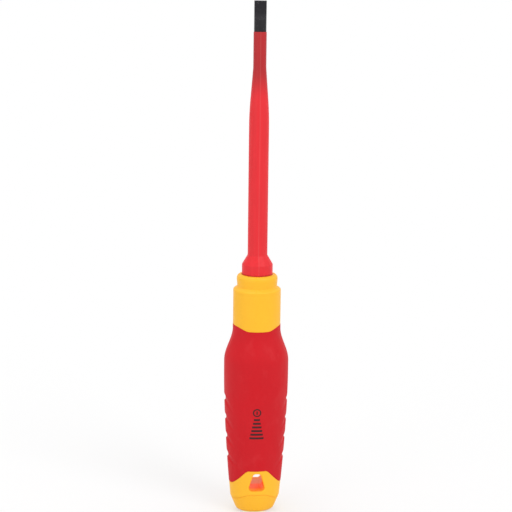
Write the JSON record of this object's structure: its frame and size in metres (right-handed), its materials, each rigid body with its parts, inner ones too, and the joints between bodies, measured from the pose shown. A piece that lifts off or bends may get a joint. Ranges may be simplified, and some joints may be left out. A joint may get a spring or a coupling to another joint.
{
  "type": "insulated screwdriver",
  "caption": "Insulated slotted screwdriver with a sleeved blade, a two-colour moulded handle, a scalloped soft grip and a hang hole through its end.",
  "frame": {"origin": "middle of the handle's end, on the tool's axis", "axes": "+Z along the tool from the handle's end to the tip; X across the blade's width; the hang hole runs along Y"},
  "size_m": [0.0306, 0.0292, 0.2415],
  "materials": {
    "black_steel": "black oxide, fine ground",
    "sleeve_red": "satin moulded",
    "core_red": "satin moulded",
    "handle_yellow": "satin moulded",
    "grip_red": "soft, fine grained"
  },
  "bodies": {
    "root": {"blade": "black_steel", "blade_insulation": "sleeve_red", "inner_core": "core_red", "neck_collar": "handle_yellow", "rear_shell": "handle_yellow", "soft_grip": "grip_red", "end_cap": "handle_yellow"}
  },
  "joints": []
}
